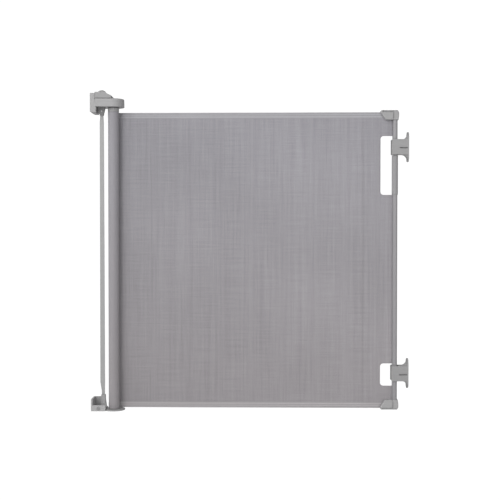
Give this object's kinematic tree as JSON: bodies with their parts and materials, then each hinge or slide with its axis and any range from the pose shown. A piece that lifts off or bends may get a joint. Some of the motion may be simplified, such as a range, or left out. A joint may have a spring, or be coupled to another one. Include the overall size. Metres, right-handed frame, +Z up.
{
  "type": "retractable mesh safety gate",
  "caption": "Roll-up mesh safety gate across a doorway: wall-mounted roller with lock knob and tie bar, mesh panel, and a handle bar that hooks into wall catches.",
  "frame": {"origin": "middle of the closed gate's bottom, halfway between the two walls", "axes": "+X from the roller side's wall to the latch side's wall, +Y through the doorway away from the viewer, +Z up"},
  "size_m": [0.8254, 0.0572, 0.8336],
  "materials": {
    "bracket_plastic": "fine moulded texture",
    "catch_plastic": "fine moulded texture",
    "cap_plastic": "fine moulded texture",
    "knob_plastic": "fine moulded texture",
    "button_plastic": "semi gloss",
    "grip_rubber": "soft matt",
    "bar_paint": "satin powder coat on aluminium",
    "tie_bar_paint": "satin powder coat on steel",
    "mesh_cloth": "woven mesh",
    "reinforcement_cloth": "woven cloth, second layer",
    "welt_cord": "matt",
    "anchor_plastic": "plain",
    "tube_aluminium": "mill finish",
    "spring_steel": "drawn wire and strip",
    "screw_steel": "zinc plated",
    "ratchet_steel": "sintered"
  },
  "bodies": {
    "wall_side": {"top_bracket": "bracket_plastic", "top_cover": "bracket_plastic", "lock_housing": "bracket_plastic", "cover_screws": "screw_steel", "top_bush": "anchor_plastic", "pawl_pin": "screw_steel", "pawl_spring": "spring_steel", "tie_bar": "tie_bar_paint", "tie_bar_top_socket": "bracket_plastic", "tie_bar_bottom_socket": "bracket_plastic", "tie_bar_screws": "screw_steel", "bottom_bracket": "bracket_plastic", "front_pan_screw": "anchor_plastic", "foot_plate": "bracket_plastic", "foot_plate_screws": "screw_steel", "bottom_spindle": "screw_steel", "thrust_washer": "anchor_plastic", "spring_mandrel": "screw_steel", "torsion_spring": "spring_steel", "upper_catch_body": "catch_plastic", "upper_catch_clip": "spring_steel", "lower_catch_body": "catch_plastic", "lower_catch_clip": "spring_steel", "mesh_panel": "mesh_cloth", "handle_end_reinforcement": "reinforcement_cloth"},
    "handle": {"handle_bar": "bar_paint", "mesh_keder": "welt_cord", "grip_sleeve": "grip_rubber", "top_cap_front": "cap_plastic", "top_cap_rear": "cap_plastic", "bottom_cap_front": "cap_plastic", "bottom_cap_rear": "cap_plastic", "cap_screws": "screw_steel"},
    "roller": {"roller_tube": "tube_aluminium", "mesh_anchor_strip": "anchor_plastic", "roller_top_plug": "anchor_plastic", "roller_bottom_plug": "anchor_plastic", "ratchet_wheel": "ratchet_steel", "ratchet_clip": "spring_steel", "mesh_roll": "mesh_cloth"},
    "knob": {"lock_knob": "knob_plastic", "knob_cam_shaft": "anchor_plastic", "knob_clip": "spring_steel", "button_spring": "spring_steel"},
    "button": {"release_button": "button_plastic"},
    "pawl_arm": {"pawl": "ratchet_steel"}
  },
  "joints": [
    {"name": "handle_draw", "type": "slide", "parent": "wall_side", "child": "handle", "axis": [1, 0, 0], "range_m": [-0.6605, 0], "deforming": ["mesh_panel", "handle_end_reinforcement", "upper_catch_clip", "lower_catch_clip"]},
    {"name": "roller_turn", "type": "hinge", "parent": "wall_side", "child": "roller", "pos_m": [-0.3556, 0, 0.4], "axis": [0, 0, 1], "range_deg": [0, 2610.5], "deforming": ["torsion_spring"]},
    {"name": "lock_knob_turn", "type": "hinge", "parent": "wall_side", "child": "knob", "pos_m": [-0.3858, 0, 0.82], "axis": [0, 0, 1], "range_deg": [0, 90]},
    {"name": "release_button_press", "type": "slide", "parent": "knob", "child": "button", "axis": [0, 0, -1], "range_m": [0, 0.003], "stiffness_N_per_m": 400, "springref_m": -0.0008, "deforming": ["button_spring"]},
    {"name": "pawl_swing", "type": "hinge", "parent": "wall_side", "child": "pawl_arm", "pos_m": [-0.374, 0.013, 0.795], "axis": [0, 0, 1], "range_deg": [0, 13.6], "deforming": ["pawl_spring"]}
  ],
  "couplings": [
    {"joint": "roller_turn", "follows": "handle_draw", "rad_per_m": -68.966},
    {"joint": "pawl_swing", "follows": "lock_knob_turn", "ratio": 0.15}
  ]
}
